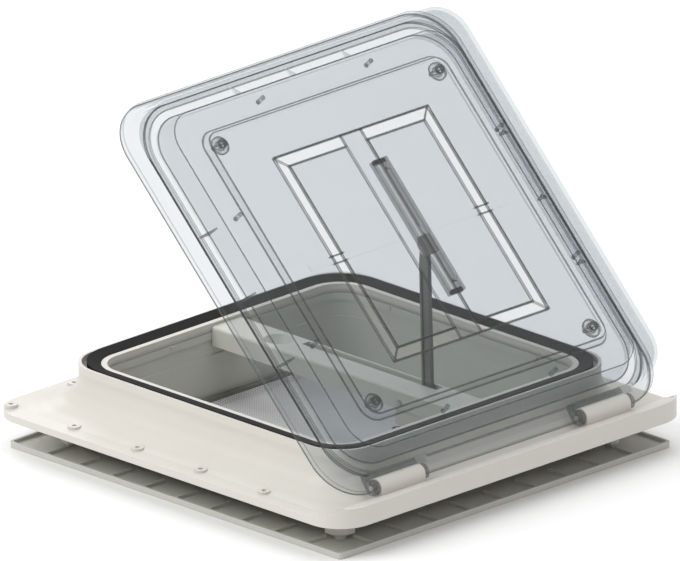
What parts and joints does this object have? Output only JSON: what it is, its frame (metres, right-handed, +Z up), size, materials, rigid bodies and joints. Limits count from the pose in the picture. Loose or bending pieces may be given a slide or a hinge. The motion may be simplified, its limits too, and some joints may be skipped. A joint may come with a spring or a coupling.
{
  "type": "roof hatch",
  "caption": "Caravan roof hatch with a clear double-glazed lid raised on one crank-driven arm, a clamped two-part frame, insect net and pull-out blind",
  "frame": {"origin": "centre of the square roof opening, on the plane where the outer flange rests on the roof skin", "axes": "+Z up out of the roof, +X towards the hinge side, Y along the hinge axis; the lid's free edge is at -X"},
  "size_m": [0.49, 0.49, 0.3969],
  "materials": {
    "arm_pivot_pin": "satin",
    "beam_screws": "satin",
    "blind_bar": "matte",
    "blind_bar_shoes": "satin",
    "blind_cloth": "woven",
    "blind_roll": "woven",
    "blind_roller": "satin",
    "clamp_screws": "satin",
    "crank_arm": "matte",
    "crank_knob": "matte",
    "crank_screw": "satin",
    "crossbeam": "satin",
    "gearbox_housing": "satin",
    "gearbox_screws": "satin",
    "hinge_cover_left": "satin",
    "hinge_cover_right": "satin",
    "hinge_lugs": "matte",
    "hinge_pins": "satin",
    "inner_frame": "matte",
    "inner_pane": "clear",
    "knob_pin": "satin",
    "lid_rail": "satin",
    "lid_seal": "matte",
    "lift_arm": "satin",
    "net_bar": "matte",
    "net_bar_shoes": "satin",
    "net_mesh": "mesh",
    "net_roller": "satin",
    "outer_frame": "satin",
    "outer_pane": "clear",
    "pane_plugs": "matte",
    "pane_spacers": "clear",
    "rail_end_caps": "matte",
    "rail_screws": "satin",
    "rail_shoe": "satin",
    "roller_brackets": "satin",
    "shoe_pin": "satin",
    "side_rail_left": "matte",
    "side_rail_right": "matte",
    "worm_bearings": "satin",
    "worm_shaft": "satin",
    "worm_wheel": "satin"
  },
  "bodies": {
    "frame": {"outer_frame": "outer_frame", "lid_seal": "lid_seal", "inner_frame": "inner_frame", "clamp_screws": "clamp_screws", "hinge_cover_right": "hinge_cover_right", "hinge_cover_left": "hinge_cover_left", "hinge_pins": "hinge_pins", "gearbox_housing": "gearbox_housing", "arm_pivot_pin": "arm_pivot_pin", "worm_bearings": "worm_bearings", "crossbeam": "crossbeam", "beam_screws": "beam_screws", "gearbox_screws": "gearbox_screws", "side_rail_right": "side_rail_right", "side_rail_left": "side_rail_left", "roller_brackets": "roller_brackets", "net_mesh": "net_mesh", "blind_cloth": "blind_cloth"},
    "lid": {"outer_pane": "outer_pane", "inner_pane": "inner_pane", "pane_spacers": "pane_spacers", "pane_plugs": "pane_plugs", "hinge_lugs": "hinge_lugs", "lid_rail": "lid_rail", "rail_end_caps": "rail_end_caps", "rail_screws": "rail_screws"},
    "arm": {"lift_arm": "lift_arm", "worm_wheel": "worm_wheel", "shoe_pin": "shoe_pin"},
    "shoe": {"rail_shoe": "rail_shoe"},
    "crank": {"worm_shaft": "worm_shaft", "crank_arm": "crank_arm", "crank_screw": "crank_screw", "knob_pin": "knob_pin"},
    "knob": {"crank_knob": "crank_knob"},
    "net_pull_bar": {"net_bar": "net_bar", "net_bar_shoes": "net_bar_shoes"},
    "blind_pull_bar": {"blind_bar": "blind_bar", "blind_bar_shoes": "blind_bar_shoes"},
    "net_winder": {"net_roller": "net_roller"},
    "blind_winder": {"blind_roller": "blind_roller", "blind_roll": "blind_roll"}
  },
  "joints": [
    {"name": "lid_hinge", "type": "hinge", "parent": "frame", "child": "lid", "pos_m": [0.2225, 0, 0.0252], "axis": [0, 1, 0], "range_deg": [-45, 13]},
    {"name": "arm_lift", "type": "hinge", "parent": "frame", "child": "arm", "pos_m": [0.09872, 0.024, 0.03368], "axis": [0, 1, 0], "range_deg": [-83, 25]},
    {"name": "shoe_turn", "type": "hinge", "parent": "arm", "child": "shoe", "pos_m": [0.09368, 0.024, 0.19209], "axis": [0, 1, 0], "range_deg": [-12, 38]},
    {"name": "crank_turn", "type": "hinge", "parent": "frame", "child": "crank", "pos_m": [0.11572, 0.015, 0], "axis": [0, 0, 1], "range_deg": [-1640, 480]},
    {"name": "knob_spin", "type": "hinge", "parent": "crank", "child": "knob", "pos_m": [0.08623, -0.00565, 0], "axis": [0, 0, 1], "continuous": true},
    {"name": "net_pull", "type": "slide", "parent": "frame", "child": "net_pull_bar", "axis": [1, 0, 0], "range_m": [0, 0.325], "deforming": ["net_mesh"]},
    {"name": "blind_pull", "type": "slide", "parent": "frame", "child": "blind_pull_bar", "axis": [1, 0, 0], "range_m": [0, 0.325], "deforming": ["blind_cloth"]},
    {"name": "net_roller_turn", "type": "hinge", "parent": "frame", "child": "net_winder", "pos_m": [0.1817, 0, -0.019], "axis": [0, 1, 0], "range_deg": [-3080, 10]},
    {"name": "blind_roller_turn", "type": "hinge", "parent": "frame", "child": "blind_winder", "pos_m": [-0.1817, 0, -0.0228], "axis": [0, 1, 0], "range_deg": [-2720, 10]}
  ],
  "couplings": [
    {"joint": "arm_lift", "follows": "lid_hinge", "ratio": 1.813},
    {"joint": "shoe_turn", "follows": "lid_hinge", "ratio": -0.813},
    {"joint": "crank_turn", "follows": "lid_hinge", "ratio": 36.26},
    {"joint": "net_roller_turn", "follows": "net_pull", "rad_per_m": -164},
    {"joint": "blind_roller_turn", "follows": "blind_pull", "rad_per_m": -145}
  ]
}
